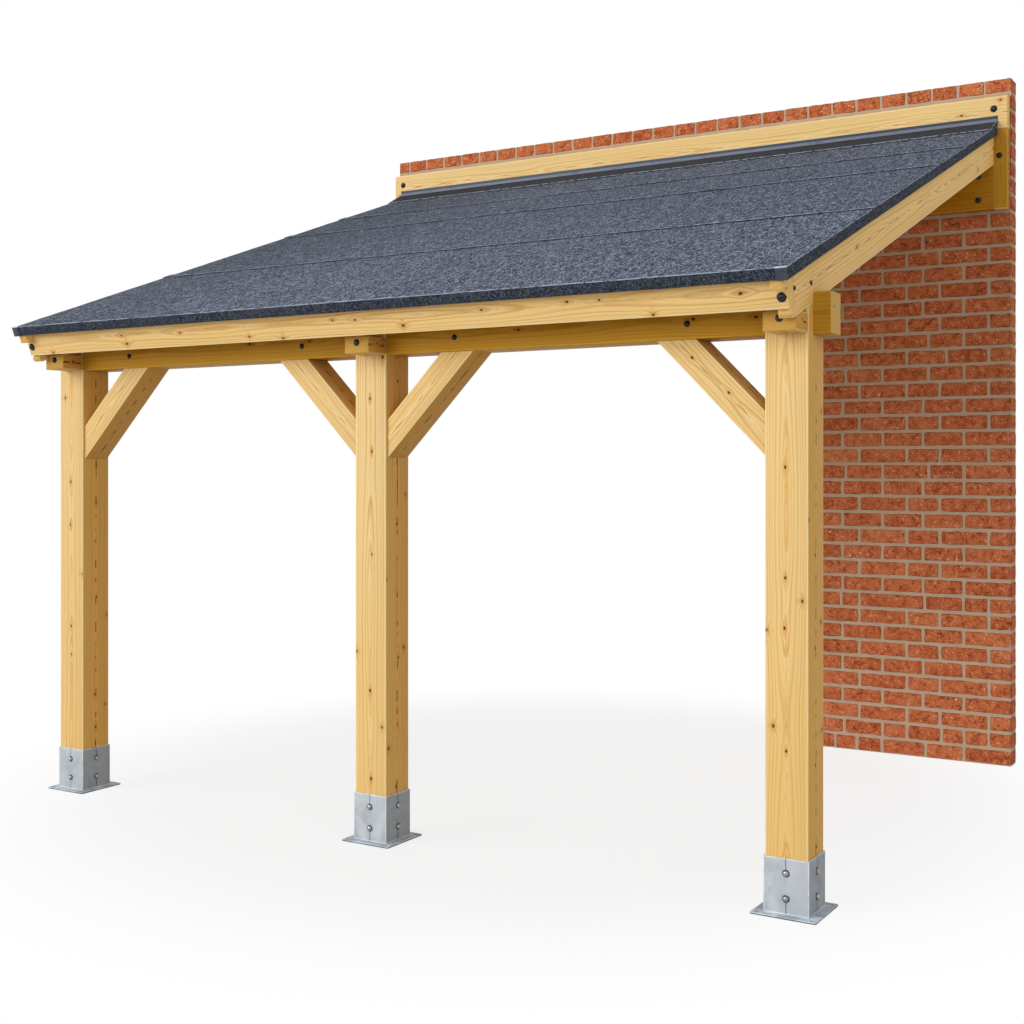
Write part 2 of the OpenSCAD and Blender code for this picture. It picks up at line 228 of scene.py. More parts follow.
def wood_material():
    """Planed softwood. grain: metres from the pith, X along it. side: along and across the face, and 1
    on end grain. trim: drying checks, half the face's width, warmth with golden painted shade towards X.
    habit:
    streaks down the middle, painted shade (below 0 painted light in honey; on end grain painted shade), and a
    number that shifts the rings from face to face. knot_a and knot_b, a knot in mid-face and one by an edge:
    offset along and across, radius"""
    s = Shader("Softwood")
    grain = s.attribute("grain")
    gx, gy, gz = s.split(grain)
    along, across, end = s.split(s.attribute("side"))
    dashes, half, warmth = s.split(s.attribute("trim"))
    streaks, stain, pith = s.split(s.attribute("habit"))
    face = 1.0 - end
    # knots push the growth rings aside in long diamonds
    shade, core, swell = 0.0, 0.0, 0.0
    for name in ("knot_a", "knot_b"):
        du, ds, radius = s.split(s.attribute(name))
        size = radius.do("MAXIMUM", 0.0005)
        there = s.step(radius, 0.0006, 0.001)
        wobble = s.noise(s.join(along, across, 0.0), 130.0, 1.0) * 0.7 + 0.65
        far = s.vector("LENGTH", s.join(du * 0.7, ds, 0.0)) / size * wobble
        core = s.step(far, 1.05, 0.65) * there + core
        shade = s.step(s.vector("LENGTH", s.join(du * 0.35, ds, 0.0)) / size, 2.8, 0.5) * there + shade
        diamond = (du.do("ABSOLUTE") * 0.42 + ds.do("ABSOLUTE")) / size
        swell = s.step(diamond, 5.6, 0.3) * there * size + swell
    # amber smears across the grain, by the edge knots only
    smear = s.step(s.vector("LENGTH", s.join(du * 0.7, ds * 0.32, 0.0)) / size, 2.4, 0.1) * there
    # growth rings cut nearly along the pith: even lines that close in long points down the middle
    bend = s.noise(s.join(along * 0.8, 0.0, pith * 90.0), 1.0, 1.0) * 0.03 - 0.015
    depth = s.noise(s.join(along * 1.15, 7.0, pith * 90.0), 1.0, 1.5, 0.4) * 0.085 - 0.018
    wave = s.noise(s.join(along * 5.0, across * 26.0, 0.0), 1.0, 2.0) * 0.005
    sawn = s.vector("LENGTH", s.join(across + bend, depth, 0.0)) + wave - swell * 1.5
    turned = s.vector("LENGTH", s.join(gy, gz, 0.0)) + wave
    reach = sawn * face + turned * end
    rings = reach * 98.0 + s.noise(s.join(reach * 50.0, 3.0, 0.0), 1.0, 1.0) * 1.4
    phase = rings.do("FRACT")
    late = s.step(phase, 0.5, 0.9) * s.step(phase, 1.0, 0.94)
    strength = s.noise(s.join(rings.do("FLOOR") * 0.37, 1.0, along * 0.4), 3.0, 0.0) * 1.1 + 0.15
    thin = (reach * 262.0 + s.noise(s.join(reach * 70.0, 9.0, 0.0), 1.0, 1.0) * 3.0).do("FRACT")
    thin = s.step(thin, 0.5, 0.85) * s.step(thin, 1.0, 0.88)
    fibre = s.noise(s.join(gx * 9.0, gy * 420.0, gz * 420.0), 1.0, 2.0, 0.6)
    streak = s.noise(s.join(gx * 1.3, gy * 38.0, gz * 38.0), 1.0, 3.0, 0.55)
    cloud = s.noise(s.join(gx * 1.1, gy * 6.0, gz * 6.0), 1.0, 2.0)
    colour = s.mix(cloud, WHITEWOOD, STRAW)
    # random warmth, plus golden painted shade on faces towards X
    colour = s.mix(warmth, colour, GOLD)
    colour = s.mix(s.step(s.split(s.place())[2], 1.7, 0.1) * 0.34, colour, GOLD)
    # painted light: a shading amount below 0 lifts the colour to a pale honey
    colour = s.mix(stain * -1.0, colour, PAINTED_LIGHT_TINT)
    colour = s.mix(late * strength * 0.9, colour, LATEWOOD)
    colour = s.mix(thin * 0.22, colour, LATEWOOD)
    colour = s.mix(s.step(streak, 0.5, 0.85) * 0.3, colour, GOLD)
    colour = s.mix(s.step(fibre, 0.45, 0.8) * 0.16, colour, LATEWOOD)
    # heart line: amber flames, a chain of amber streaks with pale rims, and broken drying checks
    drift = s.noise(s.join(along * 1.6, 0.0, 0.0), 1.0, 1.0) * 0.012 - 0.006
    off = (across + drift).do("ABSOLUTE")
    flame = s.noise(s.join(along * 2.6, 2.0, 0.0), 1.0, 2.0, 0.45) - 0.49
    flame = s.step(off / (flame.do("MAXIMUM", 0.0) * 0.1 + 0.0004), 1.0, 0.5) * s.step(flame, 0.0, 0.05)
    pulse = s.noise(s.join(along * 11.0, 12.0, 0.0), 1.0, 1.5, 0.5) - 0.45
    lean = (across + drift + s.noise(s.join(along * 20.0, 4.0, 0.0), 1.0, 0.0) * 0.008 - 0.004).do("ABSOLUTE")
    width = pulse.do("MAXIMUM", 0.0) * 0.034 + 0.0004
    chain = s.step(lean / width, 1.0, 0.45) * s.step(pulse, 0.0, 0.04) * streaks
    rim = s.step(lean / (width * 2.0 + 0.003), 1.0, 0.5) * streaks
    dash = s.step(s.noise(s.join(along * 17.0, 5.0, 0.0), 1.0, 1.5, 0.6), 0.51, 0.57)
    wide = s.noise(s.join(along * 45.0, 9.0, 0.0), 1.0, 1.0) * 0.0042
    check = s.step(off - wide, 0.0022, 0.0006) * dash * dashes
    colour = s.mix(flame * face * 0.5, colour, GOLD)
    colour = s.mix(rim * face * 0.3, colour, PALE_RIM_AND_HIGHLIGHT)
    colour = s.mix(chain * face * 0.85, colour, AMBER)
    colour = s.mix(check * face, colour, CHECK)
    colour = s.mix(smear * face * 0.34, colour, AMBER)
    colour = s.mix(shade * face * 0.42, colour, AMBER)
    colour = s.mix(core * face * 0.92, colour, KNOT)
    # painted highlight along the arrises
    arris_highlight = s.step(half - across.do("ABSOLUTE"), 0.0075, 0.0015) * face
    colour = s.mix(arris_highlight * 0.5, colour, PALE_RIM_AND_HIGHLIGHT)
    # end grain: soft arcs, rays and fine pores
    ray = s.noise(s.vector("NORMALIZE", s.join(0.0, gy, gz)), 14.0, 2.0, 0.7)
    pore = s.noise(grain, 900.0, 1.0)
    end_tone = s.mix(late * 0.5, END_PALE, END_RING)
    end_tone = s.mix(s.step(ray, 0.55, 0.72) * 0.3, end_tone, END_PORE)
    end_tone = s.mix(s.step(pore, 0.55, 0.7) * 0.25, end_tone, END_PORE)
    colour = s.mix(end, colour, end_tone)
    # painted shade on the faces and on end grain; the mix clamps its amount, so painted shade above 1 is laid
    # on a second time
    colour = s.mix(stain * face, colour, PAINTED_SHADE_TINT, "MULTIPLY")
    colour = s.mix((stain - 1.0) * face, colour, PAINTED_SHADE_TINT, "MULTIPLY")
    colour = s.mix(stain * end, colour, END_PAINTED_SHADE_TINT, "MULTIPLY")
    height = late * 0.3 + fibre * 0.3 - check * face - core * face * 0.3 - chain * 0.2 + pore * end * 0.4
    rough = s.step(streak, 0.2, 0.8, 0.62, 0.5) + late * -0.05 + end * 0.2
    return s.finish(colour, rough, s.bump(height, 0.0005, 0.7), Specular_IOR_Level=0.12)


def brick_material():
    """Creased facing brick. local: metres from the brick's middle, shifted for each brick.
    tint: its firing, its dust, and 1 on its edges."""
    s = Shader("Creased_brick")
    local = s.attribute("local")
    firing, dust, rim = s.split(s.attribute("tint"))
    warp = s.noise(local, 22.0, 2.0) * 0.03
    moved = s.vector("ADD", local, s.join(warp, warp, warp))
    crease = s.cells(s.vector("MULTIPLY", moved, (1.0, 1.0, 1.6)), 34.0, "DISTANCE_TO_EDGE")
    patch = s.noise(local, 30.0, 2.0, 0.6)
    fold = s.step(crease, 0.1, 0.02) * s.step(patch, 0.5, 0.58)
    curl = (s.noise(local, 46.0, 1.0, 0.5, 1.4) - 0.5).do("ABSOLUTE")
    curl = s.step(curl, 0.05, 0.015) * s.step(patch, 0.52, 0.44)
    grit = s.noise(local, 170.0, 3.0, 0.75)
    blotch = s.noise(local, 26.0, 3.0, 0.6, 0.6)
    colour = s.ramp(firing, (0.0, srgb(164, 80, 44)), (0.35, srgb(180, 92, 52)),
                    (0.7, srgb(190, 104, 62)), (1.0, srgb(202, 124, 80)))
    colour = s.mix(s.step(blotch, 0.35, 0.75) * 0.4, colour, srgb(152, 68, 38))
    colour = s.mix(s.step(grit, 0.48, 0.7) * 0.5, colour, srgb(220, 142, 96))
    colour = s.mix(curl * 0.6, colour, srgb(236, 164, 120))
    colour = s.mix(fold * 0.75, colour, srgb(104, 42, 22))
    fleck = s.step(s.noise(local, 62.0, 2.0, 0.7), 0.66, 0.7) * s.step(rim, 0.9, 0.4)
    colour = s.mix(fleck * dust * 0.8, colour, srgb(248, 212, 178))
    # painted shade on the bricks' rounded edges
    colour = s.mix(s.step(rim, 0.3, 0.95) * 0.75, colour, srgb(92, 40, 22))
    height = fold * -0.7 + grit * 0.25 + blotch * 0.5 + curl * 0.5
    return s.finish(colour, 0.92, s.bump(height, 0.0026, 0.9), Specular_IOR_Level=0.15)


def mortar_material():
    s = Shader("Mortar")
    place = s.place()
    sand = s.noise(place, 520.0, 3.0, 0.75)
    patch = s.noise(place, 9.0, 3.0, 0.6)
    colour = s.mix(patch, srgb(174, 148, 124), srgb(193, 168, 143))
    colour = s.mix(s.step(sand, 0.5, 0.75) * 0.45, colour, srgb(142, 118, 98))
    return s.finish(colour, 0.95, s.bump(sand, 0.0012), Specular_IOR_Level=0.15)


def felt_material(name, base, pale, curls):
    """Slate granules bedded in bitumen, curled in light worms, with painted highlights along its edges. edge:
    metres in from the verge and up from the sheet's lower edge, and 1 where the felt turns down, which is
    painted dark as shade"""
    s = Shader(name)
    place = s.place()
    x, y, z = s.split(place)
    verge, lower, turned = s.split(s.attribute("edge"))
    up = y * UP_SLOPE.y + z * UP_SLOPE.z
    over = y * OFF_SLOPE.y + z * OFF_SLOPE.z
    laid = s.join(x, up * 0.36, over)
    tone, glint, _ = s.split(s.cells(place, 520.0, out="Color"))
    worm = (s.noise(laid, 66.0, 1.0, 0.45, 1.1) - 0.5).do("ABSOLUTE")
    worm_2 = (s.noise(s.vector("ADD", laid, (5.0, 3.0, 1.0)), 92.0, 1.0, 0.45, 1.0) - 0.5).do("ABSOLUTE")
    gap = s.noise(laid, 48.0, 2.0, 0.6)
    curl = s.step(worm, 0.06, 0.03) * s.step(gap, 0.45, 0.5)
    curl = curl + s.step(worm_2, 0.066, 0.034) * s.step(gap, 0.5, 0.45)
    broad = s.noise(place, 3.0, 3.0, 0.6)
    colour = s.ramp(tone, (0.0, base[0]), (0.5, base[1]), (1.0, base[2]))
    colour = s.mix(curl * curls, colour, pale)
    colour = s.mix(s.step(gap, 0.46, 0.32) * 0.5, colour, base[0])
    colour = s.mix(s.step(broad, 0.35, 0.7) * 0.1, colour, base[2])
    # darker up the slope and to the left, as in the photo
    dull = s.step(z, 2.1, 2.8) * 0.28 + s.step(x, -0.4, -1.6) * 0.2
    colour = s.mix(dull, colour, base[0])
    # painted shade on the turned-down felt, with its granules and curls
    fold_shade = s.mix(s.step(tone, 0.8, 0.97) * 0.5, srgb(21, 24, 32), srgb(120, 130, 148))
    fold_shade = s.mix(curl * 0.3, fold_shade, srgb(104, 113, 128))
    colour = s.mix(s.step(turned, 0.25, 0.75) * 0.94, colour, fold_shade)
    # painted highlight: broken pale lines along the verge and each sheet's lower edge, strongest at the eave
    line = s.step(verge, 0.008, 0.003) + s.step(lower, 0.022, 0.008)
    broken = s.step(s.noise(place, 34.0, 2.0, 0.6), 0.38, 0.52)
    worn = line.do("MINIMUM", 1.0) * s.step(turned, 0.5, 0.2) * broken
    eave = s.step(z, EAVE + 0.075, EAVE + 0.055)
    colour = s.mix(worn * (eave * 0.32 + 0.62), colour, srgb(178, 188, 208))
    height = s.cells(place, 520.0) * -0.5 + tone * 0.4 + curl * 0.8
    rough = s.step(glint, 0.0, 1.0, 0.92, 0.7)
    return s.finish(colour, rough, s.bump(height, 0.001, 0.8), Specular_IOR_Level=0.14)


def zinc_material():
    """Hot-dip galvanised steel with a soft, smeared spangle, painted highlights along its edges, a painted
    reflection on its foot plate, and painted shade on faces towards X and along the plate's lower edge.
    spot: metres from the middle of the shoe's foot. facing: the face's normal"""
    s = Shader("Galvanised_steel")
    place = s.place()
    push = s.join(s.noise(place, 60.0), s.noise(place, 70.0), 0.0)
    warped = s.vector("ADD", place, s.vector("SCALE", push, scale=0.02))
    flake, turn, _ = s.split(s.cells(warped, 95.0, out="Color"))
    smear = s.noise(place, 11.0, 4.0, 0.6, 1.0)
    fine = s.noise(place, 300.0, 2.0)
    colour = s.mix(flake * 0.3, srgb(176, 182, 187), srgb(164, 170, 175))
    colour = s.mix(s.step(smear, 0.42, 0.75) * 0.4, colour, srgb(136, 142, 147))
    colour = s.mix(s.step(smear, 0.38, 0.24) * 0.3, colour, srgb(184, 188, 190))
    x, y, z = s.split(s.attribute("spot"))
    corner = x.do("ABSOLUTE").do("MINIMUM", y.do("ABSOLUTE"))
    foot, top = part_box("shoe_left")[0].z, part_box("shoe_left")[1].z
    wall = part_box("post_left")[1].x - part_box("post_left")[0].x
    # painted highlights along the arrises, the top edge and a band just above the foot plate
    edge_highlight = s.step(corner, wall / 2, wall / 2 + 0.0025) + s.step(z, top - 0.005, top - 0.001)
    edge_highlight = edge_highlight + s.step(z, foot + 0.011, foot + 0.008) * s.step(z, foot + 0.0055, foot + 0.0065)
    edge_highlight = edge_highlight.do("MINIMUM", 1.0)
    # noise that breaks up the painted edge highlights
    worn = s.step(s.noise(place, 40.0, 3.0), 0.25, 0.6)
    plate = s.step(z, foot + 0.0068, foot + 0.0062)
    aside = s.split(s.attribute("facing"))[0]
    # painted shade on the faces towards X
    colour = s.mix(aside * aside * 0.3, colour, srgb(96, 95, 92))
    # painted reflection on the foot plate
    plate_reflection = s.mix(s.step(smear, 0.35, 0.6), srgb(222, 232, 242), srgb(176, 187, 198))
    colour = s.mix(plate * 0.9, colour, plate_reflection)
    colour = s.mix(edge_highlight * (worn * 0.6 + 0.3) * (1.0 - plate), colour, srgb(214, 221, 226))
    # painted shade along the foot plate's lower edge
    colour = s.mix(s.step(z, foot + 0.0048, foot + 0.0036) * 0.85, colour, srgb(52, 58, 66))
    rough = 0.5 + flake * 0.08 + s.step(smear, 0.3, 0.7) * 0.1
    normal = s.bump(smear + fine * 0.15 + turn * 0.1, 0.0006, 0.3)
    return s.finish(colour, rough, normal, Metallic=0.1, Specular_IOR_Level=0.15)


def metal_material(name, low, high, metallic, rough_low, rough_high, lip=None):
    """Metal with faint handling marks; lip: height where a band begins, height where it is full, its colour
    """
    s = Shader(name)
    place = s.place()
    cloud = s.noise(place, 18.0, 4.0, 0.6)
    scuff = s.noise(s.vector("MULTIPLY", place, (30.0, 260.0, 260.0)), 1.0, 2.0)
    colour = s.mix(cloud, low, high)
    if lip:
        # the lip's band: a painted highlight on the corner caps, a lighter band on the flashing
        worn = s.step(s.split(place)[2], lip[0], lip[1]) * (s.step(cloud, 0.3, 0.5) * 0.4 + 0.6)
        colour = s.mix(worn, colour, lip[2])
    rough = s.step(cloud, 0.2, 0.8, rough_low, rough_high)
    return s.finish(colour, rough, s.bump(scuff + cloud, 0.0003, 0.4), Metallic=metallic)


# the last colour on the next line is for pale rims in the grain and the painted arris highlight
WHITEWOOD, STRAW, PALE_RIM_AND_HIGHLIGHT = srgb(230, 206, 151), srgb(224, 194, 132), srgb(250, 232, 182)
# the last colour on the next line is the pale tint of painted light
LATEWOOD, GOLD, PAINTED_LIGHT_TINT = srgb(200, 153, 82), srgb(219, 165, 75), srgb(252, 204, 122)
KNOT, AMBER, CHECK = srgb(72, 42, 16), srgb(190, 128, 46), srgb(92, 56, 14)
END_PALE, END_RING, END_PORE = srgb(240, 200, 126), srgb(210, 164, 92), srgb(186, 138, 72)
# tints of painted shade on the faces and on end grain
PAINTED_SHADE_TINT, END_PAINTED_SHADE_TINT = (0.66, 0.46, 0.06, 1.0), (0.52, 0.42, 0.14, 1.0)
FLASHING_FOOT, CAP_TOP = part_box("flashing")[0].z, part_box("corner_cap_left")[1].z
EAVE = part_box("felt_sheet_1")[0].z

WOOD = wood_material()
BRICK = brick_material()
MORTAR = mortar_material()
FELT = felt_material("Mineral_felt", (srgb(27, 32, 43), srgb(43, 50, 64), srgb(66, 75, 91)),
                     srgb(183, 194, 216), 0.7)
FILLET_FELT = felt_material("Fillet_felt", (srgb(30, 31, 35), srgb(45, 46, 51), srgb(64, 65, 71)),
                            srgb(88, 90, 98), 0.4)
ZINC = zinc_material()
CRACK = metal_material("Crack", srgb(58, 34, 10), srgb(86, 54, 18), 0.0, 0.8, 0.9)
BLACK = metal_material("Black_bolt", srgb(20, 22, 26), srgb(38, 42, 48), 0.6, 0.3, 0.45)
BOLT_STEEL = metal_material("Bolt_steel", srgb(120, 122, 124), srgb(158, 160, 162), 0.8, 0.18, 0.3)
# dark steel for the shoes' seams, and the painted shade ring on the shoe bolts' washers
SEAM_AND_RIM_SHADE = metal_material("Seam_and_bolt_rim_shade", srgb(40, 42, 44), srgb(60, 62, 64), 0.3, 0.4, 0.5)
# the flashing is lighter in a band along its foot
FLASHING = metal_material("Coated_flashing", srgb(34, 43, 60), srgb(47, 58, 79), 0.2, 0.4, 0.55,
                          (FLASHING_FOOT + 0.024, FLASHING_FOOT + 0.019, srgb(108, 115, 130)))
# the cap's lip is a painted highlight along its top
CAP = metal_material("Corner_cap", srgb(36, 40, 48), srgb(78, 84, 94), 0.6, 0.2, 0.3,
                     (CAP_TOP - 0.009, CAP_TOP - 0.003, srgb(198, 204, 214)))


# ---- Pieces ----

TIMBER_EDGE, FELT_EDGE, SHEET_EDGE, SHOE_EDGE = 0.0028, 0.0018, 0.0004, 0.0007


def piece(name, bm, material, replaces=()):
    """An object of the finished part from a bmesh"""
    mesh = bpy.data.meshes.new(name)
    bm.to_mesh(mesh)
    bm.free()
    obj = bpy.data.objects.new(name, mesh)
    bpy.context.scene.collection.objects.link(obj)
    for m in material if isinstance(material, (list, tuple)) else [material]:
        mesh.materials.append(m)
    for p in mesh.polygons:
        p.use_smooth = True
    mesh.set_sharp_from_angle(angle=math.radians(40))
    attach(obj, "root")
    if replaces:
        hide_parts(*replaces)
    return obj


def cad_shape(node):
    """Welded copy of a CAD node's shape with its flat faces whole"""
    bm = bmesh.new()
    bm.from_mesh(frame["nodes"][node].data)
    bmesh.ops.remove_doubles(bm, verts=bm.verts, dist=2e-5)
    bmesh.ops.dissolve_limit(bm, angle_limit=math.radians(0.7), verts=bm.verts, edges=bm.edges)
    return bm


def soften(bm, width, limit=25):
    """Rounds the outward edges that turn by more than limit degrees"""
    turn = math.radians(limit)
    edges = [e for e in bm.edges if len(e.link_faces) == 2 and e.calc_face_angle_signed(0) > turn]
    bmesh.ops.bevel(bm, geom=edges, offset=width, segments=2, profile=0.5, affect="EDGES",
                    clamp_overlap=True)


def cut_cells(bm, origin, axis, places):
    """Cuts the faces across axis at distances from origin"""
    for at in places:
        bmesh.ops.bisect_plane(bm, geom=bm.verts[:] + bm.edges[:] + bm.faces[:], dist=1e-6,
                               plane_co=origin + axis * at, plane_no=axis)


def lay_grain(bm, axis, seed, pith=(0.0, 0.0), knots=0.3, cell=0.36,
              streaks=0.0, stain=0.0, ends=0.0, golden=0.7, brace=False):
    """Grain, face and knot attributes of a timber whose grain runs along axis. pith: its offset from the
    middle. knots: chance of one on each face of each cell, a stretch about cell metres long. streaks: amount
    on the faces; the next: painted shade on the faces, painted light below 0; ends: painted shade on end
    grain;
    the next: golden painted shade added on faces towards X. brace: streaks only on the front, painted shade
    on the under face"""
    rnd = random.Random(seed)
    axis = axis.normalized()
    other = X if abs(axis.x) < 0.9 else Y
    b = (other - axis * other.dot(axis)).normalized()
    c = axis.cross(b)
    if b.dot(X) < 0:
        b = -b
    spans = [[min(v.co.dot(d) for v in bm.verts), max(v.co.dot(d) for v in bm.verts)] for d in (axis, b, c)]
    mid = [sum(s) / 2 for s in spans]
    halves = [(s[1] - s[0]) / 2 for s in spans]
    length = spans[0][1] - spans[0][0]
    count = max(1, round(length / cell))
    step = length / count
    start = spans[0][0]
    cut_cells(bm, axis * start, axis, [step * i for i in range(1, count)])
    shift = seed * 3.7
    grain = bm.verts.layers.float_vector.new("grain")
    for v in bm.verts:
        v[grain] = Vector((v.co.dot(axis) + shift,
                           v.co.dot(b) - mid[1] - pith[0],
                           v.co.dot(c) - mid[2] - pith[1]))
    table = {}
    for i in range(count):
        for face in range(4):
            half = halves[2 if face < 2 else 1]
            row = []
            for central, chance, room in ((True, knots, 7.5), (False, knots * 0.6, 3)):
                if rnd.random() < chance:
                    radius = min(rnd.uniform(0.004, 0.0065), half * 0.3, step * 0.06)
                    clear = radius * room
                    at = start + step * i + clear + rnd.random() * max(0.0, step - clear * 2)
                    spread = min(half * 0.2, 0.009)
                    if central:
                        across = rnd.uniform(-spread, spread)
                    else:
                        across = half * rnd.choice((-1, 1)) * rnd.uniform(0.55, 0.95)
                    row.append((at, across, radius))
                else:
                    row.append((0.0, 0.0, 0.0))
            table[i, face] = row
    names = ("side", "trim", "habit", "knot_a", "knot_b")
    side, trim, habit, *layers = [bm.loops.layers.float_vector.new(n) for n in names]
    warmth = rnd.uniform(0.0, 0.22)
    dashes = [rnd.uniform(0.75, 1.0) for _ in range(4)]
    hearts = [rnd.uniform(0.0, 1.0) for _ in range(4)]
    for f in bm.faces:
        middle = f.calc_center_median()
        i = min(count - 1, max(0, int((middle.dot(axis) - start) / step)))
        n = f.normal
        if abs(n.dot(b)) > abs(n.dot(c)):
            face, lateral, m = (0 if n.dot(b) > 0 else 1), c, mid[2]
        else:
            face, lateral, m = (2 if n.dot(c) > 0 else 3), b, mid[1]
        ended = 1.0 if abs(n.dot(axis)) > 0.8 else 0.0
        half = halves[2 if face < 2 else 1]
        front = n.y < -0.7
        amber = 0.0 if brace and not front else streaks
        broken = dashes[face] * (1 - min(1, amber * 1.2)) * (0.15 if front else 1.0)
        # random warmth, plus golden painted shade on faces towards X
        tone = warmth + golden * n.x ** 2
        # painted shade: the braces' under faces get a fixed amount, other faces the piece's amount
        face_shading = 0.6 if brace and n.z < -0.5 and abs(n.x) > 0.5 else stain
        for loop in f.loops:
            p = loop.vert.co
            u, w = p.dot(axis), p.dot(lateral) - m
            loop[side] = Vector((u + shift + face * 1.9, w, ended))
            loop[trim] = Vector((broken, half, tone))
            loop[habit] = Vector((amber, ends if ended else face_shading, hearts[face]))
            for layer, (ku, kw, kr) in zip(layers, table[i, face]):
                loop[layer] = Vector((u - ku, w - kw, kr))


def timber(node, axis, seed, pith=(0.0, 0.0), knots=0.4, **habit):
    """A CAD node's timber; habit: the rest of what lay_grain takes"""
    bm = cad_shape(node)
    soften(bm, TIMBER_EDGE)
    lay_grain(bm, axis, seed, pith, knots, **habit)
    return piece("timber_" + node, bm, WOOD, [node])


def join_pieces(objects, name):
    """The first object with the others joined to it"""
    bpy.ops.object.select_all(action="DESELECT")
    for o in objects:
        o.select_set(True)
    bpy.context.view_layer.objects.active = objects[0]
    bpy.ops.object.join()
    objects[0].name = name
    return objects[0]


# positive shading amounts below are painted shade, heaviest on the beam, ledgers and end boards under the
# roof; negative ones on the fascia and rafters are painted light
for i, name in enumerate(POSTS):
    timber("post_" + name, Z, 11 + i, (0.006 * (i - 1), 0.004), 0.85, streaks=0.15)
    timber("corbel_" + name, Y, 21 + i, (0.05 - 0.02 * i, 0.07), 0.3, stain=0.4, ends=0.8)
for i, (name, lean) in enumerate((("left", 1), ("centre_left", -1), ("centre_right", 1), ("right", -1))):
    timber("brace_" + name, Vector((lean, 0, 1)), 31 + i, (0.0, 0.03), 0.2,
           cell=0.2, streaks=0.8, stain=0.06, brace=True)
for i, name in enumerate(("left", "right", "centre")):
    timber("rafter_" + name, UP_SLOPE, 41 + i, (0.05, 0.09), 0.25,
           streaks=0.9, stain=-0.7, golden=0.0, ends=0.5)
timber("front_beam", X, 51, (0.03, 0.05), 0.6, stain=1.0, ends=0.5)
timber("fascia", X, 52, (0.05, 0.0), 0.85, streaks=0.25, stain=-0.35)
timber("top_rail", X, 53, (0.0, -0.05), 0.2, streaks=0.8)
timber("ledger_upper", X, 54, (0.0, -0.05), 0.4, stain=1.6)
timber("ledger_lower", X, 55, (0.0, -0.05), 0.4, stain=1.6)
timber("end_board_left", Z, 56, (0.0, 0.06), 0.6, stain=0.95)
timber("end_board_right", Z, 57, (0.0, 0.06), 0.6, stain=0.95)


def split_timber(node, axis, seed, pith, knots):
    """Timbers of a node that holds several, from left to right, each with its own grain"""
    whole = cad_shape(node)
    left = set(whole.faces)
    made = []
    while left:
        island, todo = set(), [min(left, key=lambda f: f.calc_center_median().x)]
        while todo:
            f = todo.pop()
            if f in island:
                continue
            island.add(f)
            todo += [g for e in f.edges for g in e.link_faces if g not in island]
        left -= island
        bm = whole.copy()
        bm.faces.ensure_lookup_table()
        whole.faces.index_update()
        keep = {f.index for f in island}
        bmesh.ops.delete(bm, geom=[f for i, f in enumerate(bm.faces) if i not in keep], context="FACES")
        soften(bm, TIMBER_EDGE)
        lay_grain(bm, axis, seed + len(made), pith, knots)
        made.append(piece(f"timber_{node}_{len(made)}", bm, WOOD))
    whole.free()
    obj = join_pieces(made, "timber_" + node)
    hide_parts(node)


split_timber("rafters_left_bay", UP_SLOPE, 61, (0.05, 0.09), 0.4)
split_timber("rafters_right_bay", UP_SLOPE, 65, (0.05, 0.09), 0.4)


# ---- Roof boards and felt ----

def on_slope(x, u, w):
    """Point at x, u up the slope and w over it"""
    return X * x + UP_SLOPE * u + OFF_SLOPE * w


def slope_box(node):
    """Lowest and highest x, distance up the slope and height over it of a CAD node"""
    pts = [v.co for v in frame["nodes"][node].data.vertices]
    return [(min(p.dot(d) for p in pts), max(p.dot(d) for p in pts)) for d in (X, UP_SLOPE, OFF_SLOPE)]


def profile_bar(outline, x0, x1):
    """Bar along X with an outline of (up the slope, over it) points"""
    bm = bmesh.new()
    ends = [[bm.verts.new(on_slope(x, u, w)) for u, w in outline] for x in (x0, x1)]
    bm.faces.new(ends[0])
    bm.faces.new(ends[1][::-1])
    for i in range(len(outline)):
        j = (i + 1) % len(outline)
        bm.faces.new((ends[0][j], ends[0][i], ends[1][i], ends[1][j]))
    bmesh.ops.recalc_face_normals(bm, faces=bm.faces)
    return bm


def roof_boards():
    """Boards along the eaves with V joints underneath, cut off upright at the wall"""
    (x0, x1), (u0, u1), (w0, w1) = slope_box("roof_deck")
    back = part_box("roof_deck")[1].y
    wide, vee = 0.108, 0.004
    made = []
    u = u0
    while u < u1 - 0.001:
        end = min(u + wide, u1)
        outline = [(u, w1), (u, w0 + vee), (u + vee, w0), (end - vee, w0), (end, w0 + vee), (end, w1)]
        bm = profile_bar(outline, x0, x1)
        cut = bmesh.ops.bisect_plane(bm, geom=bm.verts[:] + bm.edges[:] + bm.faces[:], dist=1e-6,
                                     plane_co=Y * back, plane_no=Y, clear_outer=True)
        loop = [g for g in cut["geom_cut"] if isinstance(g, bmesh.types.BMEdge)]
        if loop:
            bmesh.ops.edgeloop_fill(bm, edges=loop)
        if bm.faces:
            lay_grain(bm, X, 71 + len(made), (0.0, 0.06 - 0.01 * (len(made) % 5)), 0.5)
            made.append(piece(f"board_{len(made)}", bm, WOOD))
        u = end
    obj = join_pieces(made, "roof_boards")
    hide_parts("roof_deck")


